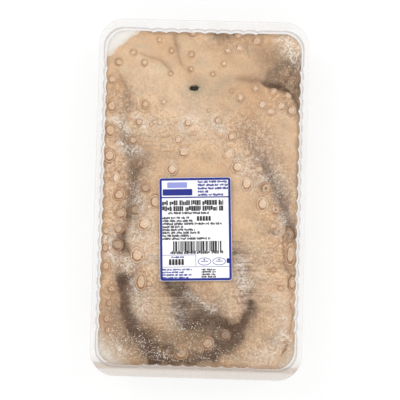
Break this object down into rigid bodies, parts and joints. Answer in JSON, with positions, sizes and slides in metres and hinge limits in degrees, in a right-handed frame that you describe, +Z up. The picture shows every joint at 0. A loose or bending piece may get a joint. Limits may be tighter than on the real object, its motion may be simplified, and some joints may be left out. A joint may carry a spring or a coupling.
{
  "type": "frozen whole octopus in a sealed tray",
  "caption": "Whole frozen octopus pressed flat, mouth side up, in a clear fluted tray closed by a lidding film with a stuck-on label.",
  "frame": {"origin": "on the resting plane, under the middle of the tray's outline", "axes": "+X to the right seen from above, +Y along the tray's length towards the octopus's mouth, +Z up"},
  "size_m": [0.153, 0.26, 0.0322],
  "materials": {
    "flesh": "raw octopus flesh and skin, frozen under a thin ice glaze, tan to cream with brown folds",
    "ice": "cloudy glaze ice",
    "clear_plastic": "clear thermoformed plastic, glossy",
    "film": "thin clear lidding film, glossy",
    "label_paper": "white coated label paper with plain blue and black print fields"
  },
  "bodies": {
    "root": {"octopus": "flesh", "ice_top_left": "ice", "ice_bottom_left": "ice", "ice_bottom_right": "ice", "tray": "clear_plastic", "lid_film": "film", "label": "label_paper"}
  },
  "joints": []
}
